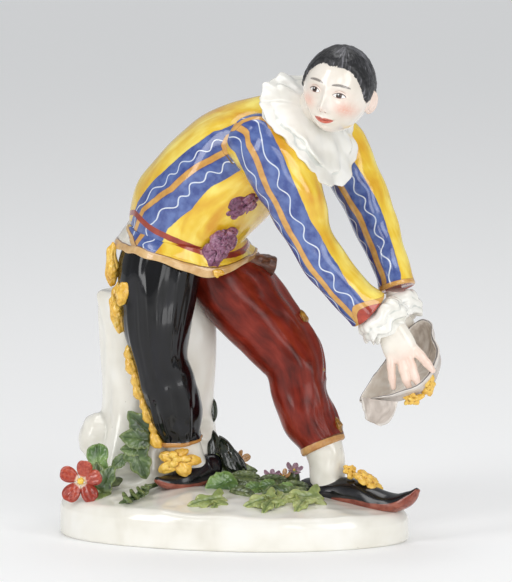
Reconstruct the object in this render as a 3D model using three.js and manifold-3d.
// A porcelain commedia dell'arte player: he bows, takes off his hat with both hands and stands
// against a tree stump on an oval base. The whole figure is one fired piece of porcelain.
// Millimetres, +Z up, the figure seen from -Y. The origin is the middle of the base's underside.

import * as THREE from "three";
import { mergeVertices } from "three/addons/utils/BufferGeometryUtils.js";
import Module from "manifold-3d";

const wasm = await Module();
wasm.setup();

// Driving dimensions
const FIGURE_HEIGHT = 155;
const BASE_LENGTH = 118;
const BASE_DEPTH = 72;
const BASE_THICKNESS = 11;
const BASE_EDGE_ROUNDING = 3.2;
const BASE_FOOT_BEVEL = 0.8;
const BASE_TURN_DEG = -12;
const BASE_FALL = 0.022;
const MOUND_HEIGHT = 5;
const LEAF_THICKNESS = 0.9;
const HAT_WALL = 1.3;
const RUFF_THICKNESS = 3.6;
const FRILL_THICKNESS = 1.5;

// The pose and the proportions are shares of the figure's height: one unit is a hundredth of it,
// and heights are measured from the top of the base.
const UNIT = FIGURE_HEIGHT / 100;
const radians = THREE.MathUtils.degToRad;

function spot(x, y, z) {
  return new THREE.Vector3(x * UNIT, y * UNIT, BASE_THICKNESS + z * UNIT);
}

// A level direction, given by its angle from the viewer (-Y) towards +X.
function facing(degrees, rise = 0) {
  const a = radians(degrees);
  return new THREE.Vector3(Math.sin(a), -Math.cos(a), rise).normalize();
}

const bump = (distance, width) => Math.exp(-((distance / width) ** 2));

// Solids

function solidOf(geometry) {
  const bare = geometry.clone();
  bare.deleteAttribute("normal");
  bare.deleteAttribute("uv");
  const merged = mergeVertices(bare, 1e-4);
  return new wasm.Manifold(
    new wasm.Mesh({
      numProp: 3,
      vertProperties: new Float32Array(merged.attributes.position.array),
      triVerts: new Uint32Array(merged.index.array),
    }),
  );
}

// Moves every point of a geometry to where `place` says, which fills the point it is given.
function reshaped(geometry, place) {
  const position = geometry.attributes.position;
  const point = new THREE.Vector3();
  for (let i = 0; i < position.count; i++) {
    point.fromBufferAttribute(position, i);
    const moved = place(point);
    position.setXYZ(i, moved.x, moved.y, moved.z);
  }
  return geometry;
}

// The right-handed axes of a cross-section: side, along and front, where front leans as `hint` does.
function axesAlong(along, hint) {
  const front = hint.clone().addScaledVector(along, -hint.dot(along)).normalize();
  const side = new THREE.Vector3().crossVectors(along, front);
  return { side, along, front };
}

// A limb: an oval section carried along a smooth line. Each station is [x, y, z, half width,
// half depth] in figure units, with the depth measured along the front.
function limb(stations, hint, { sides = 16, steps = 14, swell = () => 0 } = {}) {
  const line = new THREE.CatmullRomCurve3(
    stations.map(([x, y, z]) => spot(x, y, z)), false, "catmullrom", 0.5);
  const radii = new THREE.CatmullRomCurve3(
    stations.map(([, , , a, b]) => new THREE.Vector3(a, b, 0)), false, "catmullrom", 0.5);
  return solidOf(reshaped(new THREE.CylinderGeometry(1, 1, 1, sides, steps), (p) => {
    const t = THREE.MathUtils.clamp(p.y + 0.5, 0, 1);
    const angle = Math.atan2(p.x, p.z);
    const reach = Math.hypot(p.x, p.z);
    const { side, front } = axesAlong(line.getTangent(t), typeof hint === "function" ? hint(t) : hint);
    const size = radii.getPoint(t).multiplyScalar(UNIT * reach * (1 + swell(angle, t)));
    return line.getPoint(t)
      .addScaledVector(side, size.x * Math.sin(angle))
      .addScaledVector(front, size.y * Math.cos(angle));
  }));
}

// A fluted collar or frill: a flat ring round an axis, whose edge waves up and down.
function frill({ centre, axis, hint, inner, outer, thickness, flutes, wave, droop = 0, lift = 0,
  around = 60, across = 8, reach = () => 1 }) {
  const { side, front } = axesAlong(axis, hint);
  return solidOf(reshaped(new THREE.TorusGeometry(1, 0.5, across, around), (p) => {
    const angle = Math.atan2(p.y, p.x);
    const section = Math.atan2(p.z, Math.hypot(p.x, p.y) - 1);
    const share = (1 + Math.cos(section)) / 2;
    const radius = (inner + (outer * reach(angle) - inner) * share) * UNIT;
    const height = lift * UNIT * share * share
      + (thickness / 2) * Math.sin(section)
      + wave * UNIT * share * Math.cos(flutes * angle + 0.8 * Math.sin(2 * angle));
    return centre.clone()
      .addScaledVector(side, radius * Math.cos(angle))
      .addScaledVector(front, -radius * Math.sin(angle))
      .addScaledVector(axis, height)
      .add(new THREE.Vector3(0, 0, -droop * UNIT * share * share));
  }));
}

// A tied bow or rosette: a puffed disc with lobes, lying on a surface that faces `axis`.
function rosette(centre, axis, hint, radius, puff, lobes, stretch = 1) {
  const { side, front } = axesAlong(axis, hint);
  return solidOf(reshaped(new THREE.SphereGeometry(1, 2 * lobes, 4), (p) => {
    const angle = Math.atan2(p.z, p.x);
    const edge = 1 + 0.16 * Math.cos(lobes * angle);
    const flat = Math.hypot(p.x, p.z) * edge * radius * UNIT;
    return centre.clone()
      .addScaledVector(side, flat * Math.cos(angle))
      .addScaledVector(front, flat * stretch * Math.sin(angle))
      .addScaledVector(axis, p.y * puff * UNIT);
  }));
}

// The base

const baseTurn = radians(BASE_TURN_DEG);

// How far a point lies from the middle of the base, as a share of the way to its edge.
function shareOut(x, y) {
  const along = x * Math.cos(baseTurn) + y * Math.sin(baseTurn);
  const across = y * Math.cos(baseTurn) - x * Math.sin(baseTurn);
  return Math.hypot(along / (BASE_LENGTH / 2), across / (BASE_DEPTH / 2));
}

// The height of the modelled ground, which falls a little to the right.
function groundHeight(x, y) {
  const out = shareOut(x, y);
  const mound = MOUND_HEIGHT * Math.max(0, 1 - out * out) * (1 - (0.2 * x) / (BASE_LENGTH / 2));
  return BASE_THICKNESS - BASE_FALL * x + mound;
}

// The same height in figure units above the base, under a spot given in figure units.
const groundRise = (x, y) => (groundHeight(x * UNIT, y * UNIT) - BASE_THICKNESS) / UNIT;

function base() {
  const rounding = [0, 1, 2].map((i) => (i / 2) * (Math.PI / 2));
  const rows = [
    { share: 0, height: 0 },
    { share: 1, inset: BASE_FOOT_BEVEL, height: 0 },
    { share: 1, inset: 0, height: BASE_FOOT_BEVEL },
    ...rounding.map((a) => ({
      share: 1,
      inset: BASE_EDGE_ROUNDING * (1 - Math.cos(a)),
      below: BASE_EDGE_ROUNDING * (1 - Math.sin(a)),
    })),
    ...[0.82, 0.58, 0.32].map((share) => ({ share, inset: BASE_EDGE_ROUNDING, below: 0 })),
    { share: 0, below: 0 },
  ];
  const lathe = new THREE.LatheGeometry(
    rows.map((row, i) => new THREE.Vector2(Math.min(1, 9 * row.share), i)), 28);
  return solidOf(reshaped(lathe, (p) => {
    const row = rows[Math.round(p.y)];
    const angle = Math.atan2(-p.z, p.x);
    const unevenness = 1 + 0.012 * Math.cos(3 * angle + 1) + 0.008 * Math.cos(5 * angle);
    const edge = Math.hypot((BASE_LENGTH / 2) * Math.cos(angle), (BASE_DEPTH / 2) * Math.sin(angle));
    const reach = row.share === 0 ? 0 : row.share * (1 - row.inset / edge) * unevenness;
    const along = reach * (BASE_LENGTH / 2) * Math.cos(angle);
    const across = reach * (BASE_DEPTH / 2) * Math.sin(angle);
    const x = along * Math.cos(baseTurn) - across * Math.sin(baseTurn);
    const y = along * Math.sin(baseTurn) + across * Math.cos(baseTurn);
    return new THREE.Vector3(x, y, row.height ?? groundHeight(x, y) - row.below);
  }));
}

function stump() {
  const bark = (angle, t) => 0.05 * Math.cos(3 * angle + 1 + 2 * t)
    + 0.03 * Math.cos(7 * angle - 2 * t);
  const trunk = limb([
    [-16.5, 10.4, -3.0, 15.5, 10.6],
    [-16.7, 11.4, 4.0, 14.0, 10.4],
    [-16.6, 12.0, 11.0, 12.4, 9.8],
    [-16.4, 12.4, 20.0, 12.0, 9.5],
    [-16.3, 12.6, 31.0, 12.4, 9.4],
    [-16.6, 12.8, 43.6, 12.5, 9.2],
  ], facing(0), { sides: 16, steps: 6, swell: bark });
  const branchStub = limb([
    [-23.0, 12.0, 11.5, 7.5, 6.0],
    [-27.6, 11.4, 14.6, 5.6, 4.8],
    [-31.0, 10.8, 17.2, 3.6, 3.4],
  ], facing(0), { sides: 8, steps: 3 });
  return trunk.add(branchStub);
}

// Legs

function blackBreeches() {
  const creases = (angle, t) => 0.035 * Math.cos(4 * angle + 3 * t) * Math.sin(Math.PI * t)
    + 0.05 * bump(t - 0.72, 0.1) * bump(angle - 0.3, 0.8);
  return limb([
    [-13.4, 3.4, 57.0, 9.2, 9.0],
    [-15.6, 1.3, 50.3, 9.1, 8.8],
    [-16.0, 0.2, 43.6, 8.1, 8.0],
    [-16.1, -0.5, 37.2, 7.2, 7.3],
    [-15.5, -0.6, 30.8, 5.8, 6.4],
    [-14.0, -0.1, 25.6, 6.2, 6.1],
    [-12.6, 0.8, 19.6, 6.0, 5.7],
    [-11.6, 1.6, 14.8, 4.8, 4.7],
    [-11.4, 1.8, 13.4, 5.2, 5.0],
  ], facing(-5), { sides: 12, steps: 10, swell: creases });
}

function redBreeches() {
  const creases = (angle, t) => 0.035 * Math.cos(3 * angle + 5 * t) * Math.sin(Math.PI * t)
    + 0.07 * bump(t - 0.52, 0.09) * bump(angle, 0.9);
  return limb([
    [-4.6, 7.7, 53.0, 8.4, 7.7],
    [1.6, 7.1, 44.0, 9.0, 8.4],
    [8.1, 5.2, 36.7, 7.6, 7.6],
    [12.8, 3.2, 30.5, 6.5, 6.8],
    [14.4, 1.9, 24.6, 5.6, 5.8],
    [16.0, 1.3, 18.8, 5.9, 5.8],
    [18.6, 0.6, 14.0, 5.0, 4.9],
    [19.4, 0.2, 12.2, 5.2, 5.0],
  ], facing(60), { sides: 12, steps: 10, swell: creases });
}

function stockings() {
  const front = limb([
    [18.9, 0.2, 14.0, 4.3, 4.3],
    [20.3, 0.0, 9.2, 4.0, 4.0],
    [20.5, 0.0, 5.3, 3.7, 3.7],
    [20.9, -0.2, 2.2, 3.6, 3.6],
  ], facing(56), { sides: 10, steps: 4 });
  const rear = limb([
    [-11.5, 1.8, 15.0, 4.0, 4.0],
    [-9.8, 2.9, 9.8, 3.5, 3.5],
    [-8.2, 4.1, 6.0, 3.3, 3.3],
  ], facing(-50), { sides: 8, steps: 3 });
  return front.add(rear);
}

const shoeSection = (angle) => -0.12 * Math.max(0, -Math.cos(angle)) ** 2;

function frontShoe() {
  return limb([
    [15.9, 3.0, 2.6, 1.6, 2.0],
    [17.0, 2.4, 2.6, 2.9, 3.1],
    [19.4, 1.3, 2.7, 3.4, 3.6],
    [23.0, -1.4, 2.7, 3.5, 3.4],
    [27.4, -4.5, 2.1, 3.6, 2.9],
    [31.7, -7.7, 1.2, 3.4, 2.5],
    [35.4, -10.3, 1.2, 2.7, 2.1],
    [38.2, -12.1, 2.9, 1.8, 1.5],
    [39.7, -13.0, 4.7, 0.7, 0.6],
  ], new THREE.Vector3(0, 0, 1), { sides: 8, steps: 9, swell: shoeSection });
}

function rearShoe() {
  return limb([
    [-2.9, 6.4, 6.6, 1.6, 2.0],
    [-4.0, 5.8, 6.5, 2.7, 3.1],
    [-6.4, 4.6, 5.9, 3.3, 3.4],
    [-9.6, 1.9, 4.9, 3.4, 2.9],
    [-12.4, -0.6, 4.4, 3.0, 2.3],
    [-14.7, -3.2, 4.7, 1.9, 1.5],
    [-16.3, -4.7, 5.5, 0.7, 0.7],
  ], new THREE.Vector3(0, 0, 1), { sides: 8, steps: 7, swell: shoeSection });
}

// Jacket

const TORSO = [
  [-9.8, 4.4, 54.6, 14.0, 13.4, 42],
  [-9.7, 4.2, 58.2, 13.3, 12.9, 43],
  [-7.8, 2.4, 64.3, 13.3, 12.9, 48],
  [-1.0, -1.0, 72.2, 13.4, 12.6, 52],
  [5.3, -3.7, 77.9, 11.9, 11.0, 56],
  [9.8, -5.6, 82.0, 8.8, 7.8, 58],
  [14.2, -8.0, 85.5, 5.2, 5.2, 58],
];

function torso() {
  const turns = new THREE.CatmullRomCurve3(
    TORSO.map((row) => new THREE.Vector3(row[5], 0, 0)), false, "catmullrom", 0.5);
  const folds = (angle, t) => 0.02 * Math.cos(5 * angle + 4 * t) * Math.sin(Math.PI * t)
    - 0.05 * bump(t - 0.12, 0.07);
  return limb(TORSO, (t) => facing(turns.getPoint(t).x), { sides: 17, steps: 10, swell: folds });
}

// The short skirt below the belt, which flares and comes to a point in front.
function peplum() {
  const hang = (angle) => 2.4 * bump(angle - 0.1, 0.5) - 1.6 * bump(angle + 1.3, 0.6)
    - 0.8 * bump(angle - 1.4, 0.5) + 1.2 * bump(Math.abs(angle) - Math.PI, 0.7);
  const top = spot(-9.4, 4.1, 57.6);
  const foot = spot(-10.2, 4.4, 53.6);
  const along = top.clone().sub(foot).normalize();
  const { side, front } = axesAlong(along, facing(42));
  return solidOf(reshaped(new THREE.CylinderGeometry(1, 1, 1, 22, 2), (p) => {
    const t = 0.5 - p.y;
    const angle = Math.atan2(p.x, p.z);
    const reach = Math.hypot(p.x, p.z);
    const flare = 1 + 0.13 * t + 0.03 * t * Math.cos(5 * angle);
    const drop = reach > 0.5 ? hang(angle) * t * UNIT : 0;
    return top.clone().lerp(foot, t)
      .addScaledVector(side, reach * 13.7 * UNIT * flare * Math.sin(angle))
      .addScaledVector(front, reach * 13.2 * UNIT * flare * Math.cos(angle))
      .addScaledVector(along, -drop);
  }));
}

function slapstick() {
  return limb([
    [-2.0, 3.0, 52.8, 1.9, 1.9],
    [4.0, 4.5, 51.8, 1.9, 1.9],
    [8.6, 5.6, 50.6, 2.2, 2.2],
  ], facing(0), { sides: 8, steps: 3 });
}

// Arms

const SLEEVE_HINT = new THREE.Vector3(-0.45, -0.85, -0.2);

function nearSleeve() {
  const creases = (angle, t) => 0.04 * Math.cos(3 * angle + 8 * t) * bump(t - 0.5, 0.25);
  return limb([
    [3.2, -11.8, 80.6, 5.4, 6.2],
    [5.6, -14.2, 79.6, 7.0, 7.0],
    [8.8, -16.0, 76.6, 7.5, 7.2],
    [13.0, -16.8, 69.5, 6.7, 6.6],
    [16.0, -16.8, 61.1, 4.9, 5.3],
    [20.1, -16.1, 53.8, 4.5, 4.9],
    [25.7, -15.5, 47.2, 4.3, 4.6],
    [28.9, -15.0, 44.1, 4.9, 4.9],
  ], SLEEVE_HINT, { sides: 10, steps: 10, swell: creases });
}

function farSleeve() {
  return limb([
    [10.6, -2.4, 80.2, 5.0, 5.6],
    [14.2, 1.6, 81.2, 6.4, 6.4],
    [18.8, 3.8, 79.8, 6.3, 6.4],
    [22.9, 3.2, 76.3, 6.2, 6.2],
    [27.6, 0.6, 67.8, 5.4, 5.5],
    [31.5, -3.2, 58.5, 4.5, 4.6],
    [34.3, -6.5, 51.4, 3.9, 4.1],
    [35.3, -7.7, 48.0, 4.2, 4.2],
  ], SLEEVE_HINT, { sides: 10, steps: 7 });
}

function wristFrills() {
  const near = frill({
    centre: spot(30.4, -15.0, 42.6), axis: new THREE.Vector3(0.63, 0.02, -0.77).normalize(),
    hint: facing(0), inner: 2.2, outer: 6.2, thickness: FRILL_THICKNESS, flutes: 7, wave: 0.9,
    lift: 2.4, around: 21, across: 4,
  });
  const far = frill({
    centre: spot(36.0, -8.2, 46.4), axis: new THREE.Vector3(0.3, -0.3, -0.9).normalize(),
    hint: facing(0), inner: 2.0, outer: 5.2, thickness: FRILL_THICKNESS, flutes: 6, wave: 0.8,
    lift: 2.0, around: 18, across: 4,
  });
  return near.add(far);
}

function finger(points, radius) {
  const taper = [1, 1.05, 0.95, 0.6];
  return limb(points.map((p, i) => [...p, radius * taper[i], radius * taper[i]]), facing(0),
    { sides: 5, steps: 3 });
}

function nearHand() {
  const palm = limb([
    [27.6, -15.0, 45.4, 2.6, 2.4],
    [32.6, -14.4, 39.9, 3.1, 2.2],
    [35.0, -14.4, 36.4, 3.7, 1.8],
    [36.2, -14.8, 33.4, 3.5, 1.4],
  ], facing(-8), { sides: 8, steps: 3 });
  const digits = [
    [[[33.4, -15.0, 33.9], [33.7, -16.2, 30.6], [34.3, -17.0, 27.6], [34.6, -17.2, 25.6]], 0.85],
    [[[35.1, -15.1, 33.5], [35.8, -16.5, 30.0], [36.6, -17.6, 26.8], [37.0, -17.8, 24.6]], 0.95],
    [[[36.9, -15.1, 33.6], [38.0, -16.6, 30.2], [38.9, -17.7, 27.4], [39.4, -17.9, 25.4]], 0.98],
    [[[38.4, -15.0, 34.2], [39.6, -16.4, 31.2], [40.4, -17.4, 28.6], [40.9, -17.6, 26.8]], 0.95],
    [[[37.2, -14.6, 37.4], [40.0, -15.4, 34.6], [42.0, -16.2, 31.8], [43.2, -16.6, 29.6]], 1.0],
  ];
  return digits.reduce((hand, [points, radius]) => hand.add(finger(points, radius)), palm);
}

function farHand() {
  const palm = limb([
    [34.9, -7.4, 49.4, 2.6, 2.4],
    [37.2, -8.2, 43.8, 2.8, 1.9],
    [39.6, -7.0, 39.8, 3.3, 1.5],
  ], facing(150), { sides: 8, steps: 3 });
  const digits = [-1.4, 1.4].map((offset) => finger([
    [39.6 + 0.4 * offset, -6.8 + 0.5 * offset, 40.2],
    [42.0 + 0.3 * offset, -6.4 + 0.5 * offset, 37.4],
    [43.8 + 0.2 * offset, -7.4 + 0.5 * offset, 34.4],
    [44.2 + 0.1 * offset, -8.8 + 0.5 * offset, 31.6],
  ], 1.2));
  return digits.reduce((hand, digit) => hand.add(digit), palm);
}

// The felt hat: a long bowl held with its opening up and to the viewer, and one end of its brim
// turned down. Rows go from the middle of the crown out over the rim and back along the lining.
function hat() {
  const centre = spot(36.9, -13.6, 31.9);
  const opening = new THREE.Vector3(-0.65, -0.47, 0.59).normalize();
  const { side, front } = axesAlong(opening, new THREE.Vector3(0.71, -0.1, 0.7));
  const halfLength = 11.4 * UNIT;
  const halfWidth = 7.2 * UNIT;
  const crownDepth = 7.2 * UNIT;
  const outside = [
    { share: 0, depth: 1, wall: 0 },
    { share: 0.66, depth: 0.9, wall: 0 },
    { share: 0.95, depth: 0.5, wall: 0 },
    { share: 1, depth: 0, wall: 0 },
  ];
  const lining = outside.map((row) => ({ ...row, wall: HAT_WALL })).reverse();
  const rows = [...outside, ...lining];
  const lathe = new THREE.LatheGeometry(
    rows.map((row, i) => new THREE.Vector2(Math.min(1, 9 * row.share), i)), 15);
  const bowl = solidOf(reshaped(lathe, (p) => {
    const { share, depth, wall } = rows[Math.round(p.y)];
    const angle = Math.atan2(-p.z, p.x);
    const rise = (1 - depth) * 1.3 * UNIT * Math.cos(2 * angle);
    const reach = share * (1 + 0.05 * Math.cos(3 * angle));
    return centre.clone()
      .addScaledVector(front, reach * (halfLength - wall) * Math.cos(angle))
      .addScaledVector(side, reach * (halfWidth - wall) * Math.sin(angle))
      .addScaledVector(opening, rise - depth * (crownDepth - wall));
  }));
  const turnedBrim = limb([
    [32.6, -14.8, 25.6, 3.0, 0.7],
    [31.4, -14.9, 22.4, 4.0, 0.7],
    [30.4, -14.8, 19.6, 3.0, 0.7],
  ], facing(-10), { sides: 7, steps: 2 });
  return bowl.add(turnedBrim);
}

// Head

const HEAD_CENTRE = spot(22.9, -16.1, 91.6);
const HEAD_UP = new THREE.Vector3(0.27, -0.06, 0.96).normalize();
const HEAD_FRONT = facing(-20);

// The distance from the head's middle to its surface, in figure units, along a direction given
// by its share to the side, up and to the front.
function headReach(side, up, front) {
  const skull = 1 / Math.hypot(side / 7.0, up / 9.6, front / 8.4);
  const jaw = front > -0.2 ? -0.9 * bump(up + 0.75, 0.35) * Math.abs(side) : 0;
  const brow = 0.28 * bump(up - 0.22, 0.1) * bump(front - 1, 0.3);
  const inFront = front > 0 ? 1 : 0;
  const sockets = -0.45 * inFront * bump(up - 0.06, 0.1) * bump(Math.abs(side) - 0.36, 0.15);
  const chin = 0.5 * inFront * bump(up + 0.84, 0.14) * bump(side, 0.22);
  const nape = -1.2 * bump(up + 0.62, 0.4) * Math.max(0, -front);
  const hairline = 0.62 - 0.75 * (1 - Math.max(0, front)) ** 1.4;
  const hair = up > hairline - 0.45 * (1 - inFront) ? 0.35 : 0;
  return skull + jaw + brow + sockets + chin + nape + hair;
}

function head() {
  const { side, along: up, front } = axesAlong(HEAD_UP, HEAD_FRONT);
  const skin = solidOf(reshaped(new THREE.SphereGeometry(1, 17, 11), (p) => {
    const turn = Math.atan2(p.x, p.z);
    const eased = turn - 0.5 * Math.sin(turn);
    const flat = Math.hypot(p.x, p.z);
    const direction = [flat * Math.sin(eased), p.y, flat * Math.cos(eased)];
    const reach = headReach(...direction) * UNIT;
    return HEAD_CENTRE.clone()
      .addScaledVector(side, direction[0] * reach)
      .addScaledVector(up, direction[1] * reach)
      .addScaledVector(front, direction[2] * reach);
  }));
  const local = (x, y, z) => HEAD_CENTRE.clone()
    .addScaledVector(side, x * UNIT).addScaledVector(up, y * UNIT).addScaledVector(front, z * UNIT);
  const nose = solidOf(reshaped(new THREE.SphereGeometry(1, 6, 5), (p) => local(
    p.x * (0.75 - 0.35 * p.y), -1.0 + p.y * 2.2, 7.6 + p.z * 1.3 - p.y * 0.7)));
  const ears = [-1, 1].map((hand) => solidOf(reshaped(new THREE.SphereGeometry(1, 6, 5), (p) => local(
    hand * (7.1 + 0.3 * p.z) + p.x * 0.55, -0.6 + p.y * 1.9, -0.6 + p.z * 1.2))));
  const neck = limb([
    [12.4, -6.4, 83.6, 5.2, 5.2],
    [17.5, -11.0, 86.6, 4.2, 4.2],
    [22.2, -15.0, 89.6, 4.0, 4.0],
  ], facing(50), { sides: 9, steps: 2 });
  return [nose, ...ears, neck].reduce((whole, piece) => whole.add(piece), skin);
}

function ruff() {
  const axis = new THREE.Vector3(0.66, -0.57, 0.49).normalize();
  const down = -Math.PI / 2;
  const reach = (angle) => 1 + 0.05 * bump(angle - down, 0.5) - 0.16 * bump(angle + down, 0.9);
  return frill({
    centre: spot(16.9, -9.6, 83.6), axis, hint: new THREE.Vector3(0.3, -0.3, -0.9),
    inner: 2.6, outer: 14.0, thickness: RUFF_THICKNESS, flutes: 11, wave: 0.9, lift: 0.6,
    droop: 0.8, around: 33, across: 4, reach,
  });
}

// Bows, flowers and leaves

function seamBows() {
  const black = [
    [-22.9, 2.6, 51.6, -70, 3.0, 1.4], [-22.6, 0.6, 44.0, -72, 3.0, 1.5],
    [-21.6, 0.6, 33.6, -78, 1.9, 1.1], [-20.9, 0.6, 28.4, -78, 1.7, 1.0],
    [-19.8, 0.8, 23.4, -78, 1.6, 1.0], [-18.4, 1.2, 18.6, -72, 1.5, 0.9],
  ];
  const red = [
    [18.9, 0.6, 33.6, 78, 2.2, 0.9], [20.2, -0.6, 26.0, 78, 1.5, 0.8], [22.9, -1.4, 15.0, 75, 1.8, 0.9],
  ];
  return [...black, ...red].map(([x, y, z, turn, radius, puff]) => rosette(
    spot(x, y, z), facing(turn), new THREE.Vector3(0, 0, 1), radius, puff, 5));
}

function jacketBows() {
  const atWaist = new THREE.Vector3(0.5, 0, 0.87);
  const onChest = new THREE.Vector3(0.87, 0, 0.5);
  return [
    rosette(spot(-2.6, -8.4, 56.4), facing(30, -0.25), atWaist, 3.3, 1.5, 5, 1.3),
    rosette(spot(3.4, -10.4, 66.4), facing(40, -0.5), onChest, 2.5, 1.5, 5, 1.6),
  ];
}

function shoeRosettes() {
  return [
    rosette(spot(-11.4, -0.9, 9.2), facing(-28, 0.5), new THREE.Vector3(0, 0, 1), 4.3, 1.7, 6),
    rosette(spot(26.9, -4.6, 5.8), facing(60, 1.4), new THREE.Vector3(0, 0, 1), 3.6, 1.3, 6),
  ];
}

// A lobed leaf lying on the ground or on the stump: `turn` points its tip, `tilt` raises it.
function leaf(x, y, z, size, turn, tilt, curl = 0.25) {
  const outline = new THREE.Shape();
  const lobes = 5;
  for (let i = 0; i <= 2 * lobes; i++) {
    const a = radians(-150 + (300 * i) / (2 * lobes));
    const reach = i % 2 === 0 ? 1 : 0.68;
    const point = [Math.cos(a) * reach * 0.62 + 0.3, Math.sin(a) * reach * 0.55];
    if (i === 0) outline.moveTo(...point);
    else outline.lineTo(...point);
  }
  outline.closePath();
  const plate = new THREE.ExtrudeGeometry(outline, { depth: 1, bevelEnabled: false, steps: 1 });
  const frame = new THREE.Matrix4()
    .makeRotationZ(radians(turn))
    .multiply(new THREE.Matrix4().makeRotationY(-radians(tilt)));
  return solidOf(reshaped(plate, (p) => new THREE.Vector3(
    p.x * size * UNIT,
    p.y * size * UNIT,
    (p.z - 0.5) * LEAF_THICKNESS + curl * size * UNIT * (0.25 - p.x * p.x - p.y * p.y),
  ).applyMatrix4(frame).add(spot(x, y, z))));
}

// Each leaf's row: place, size, the turn of its tip and its tilt up from the ground.
function leaves() {
  const onStump = [
    [-20.3, 2.8, 15.4, 6.6, 100, 78], [-19.9, 1.6, 10.8, 6.6, -80, -74],
    [-24.8, 3.4, 10.0, 4.6, 120, 62], [-28.2, 2.6, 7.0, 6.2, 95, 66],
    [-5.0, 8.2, 17.2, 4.0, 60, 74],
  ];
  const onGround = [
    [-27.2, -3.6, 0.4, 6.4, -110, 18], [-19.0, -7.2, 0.1, 7.0, -130, 0],
    [-2.8, -6.4, 0.6, 6.0, 170, 24], [2.0, -4.2, -0.1, 5.6, -30, 10],
    [-5.6, -16.8, 0.1, 6.4, -165, 0], [5.6, -16.6, 0.1, 6.8, -150, 0],
    [14.4, -14.2, 0.1, 6.6, -20, 0], [9.6, -8.4, 0.3, 5.8, 15, 6],
    [6.2, 2.0, -0.1, 6.4, 10, 6], [13.8, -1.0, 0.3, 5.4, -10, 6],
    [-1.6, 5.6, 2.4, 8.4, 95, 66],
  ].map(([x, y, rise, ...rest]) => [x, y, groundRise(x, y) + rise, ...rest]);
  return [...onStump, ...onGround].map((row) => leaf(...row));
}

function flower(x, y, z, radius, turn, rise) {
  const petals = 5;
  const { side, along, front } = axesAlong(facing(turn, rise), new THREE.Vector3(0, 0, 1));
  return solidOf(reshaped(new THREE.SphereGeometry(1, 3 * petals, 4), (p) => {
    const angle = Math.atan2(p.z, p.x);
    const lobe = 0.66 + 0.34 * Math.cos(petals * angle);
    const flat = Math.hypot(p.x, p.z);
    const out = flat * radius * UNIT * (1 - (1 - lobe) * 0.9);
    return spot(x, y, z)
      .addScaledVector(side, out * Math.cos(angle))
      .addScaledVector(front, out * Math.sin(angle))
      .addScaledVector(along, (p.y * 0.8 + 0.6 * flat * flat) * UNIT);
  }));
}

function sprigs() {
  const stem = limb([
    [-30.6, -2.6, 5.0, 1.2, 1.2], [-27.4, 0.4, 4.2, 1.2, 1.2], [-21.0, 7.0, 4.0, 1.2, 1.2],
  ], new THREE.Vector3(0, 0, 1), { sides: 6, steps: 3 });
  const stalk = (x, y, z) => limb([
    [x, y + 1, groundRise(x, y) - 1, 1.0, 1.0], [x, y, z, 0.7, 0.7],
  ], facing(0), { sides: 5, steps: 1 });
  return [
    stem, stalk(12.6, 2.6, 4.6), stalk(2.0, 8.6, 6.2),
    flower(-30.8, -3.4, 5.6, 4.4, -12, 0.1),
    flower(12.6, 2.6, 4.6, 2.6, 10, 1.2),
    flower(2.0, 8.6, 6.2, 2.8, 30, 0.6),
  ];
}

const pieces = [
  base(), stump(), blackBreeches(), redBreeches(),
  stockings(), frontShoe(), rearShoe(), torso(), peplum(), slapstick(),
  nearSleeve(), farSleeve(), wristFrills(), nearHand(), farHand(), hat(), head(), ruff(),
  ...seamBows(), ...jacketBows(), ...shoeRosettes(), ...leaves(), ...sprigs(),
];
const whole = pieces.reduce((sum, piece) => sum.add(piece));

// The fused solid as a three.js mesh

function geometryOf(solid) {
  const { vertProperties, triVerts } = solid.getMesh();
  const geometry = new THREE.BufferGeometry();
  geometry.setAttribute("position", new THREE.BufferAttribute(vertProperties, 3));
  geometry.setIndex(new THREE.BufferAttribute(triVerts, 1));
  geometry.computeVertexNormals();
  return geometry;
}

const porcelain = new THREE.MeshStandardMaterial({
  name: "glazed_porcelain", color: 0xf1eee6, roughness: 0.12, metalness: 0,
});
const figure = new THREE.Group();
const mesh = new THREE.Mesh(geometryOf(whole), porcelain);
mesh.name = "porcelain_figure";
figure.add(mesh);

export default figure;
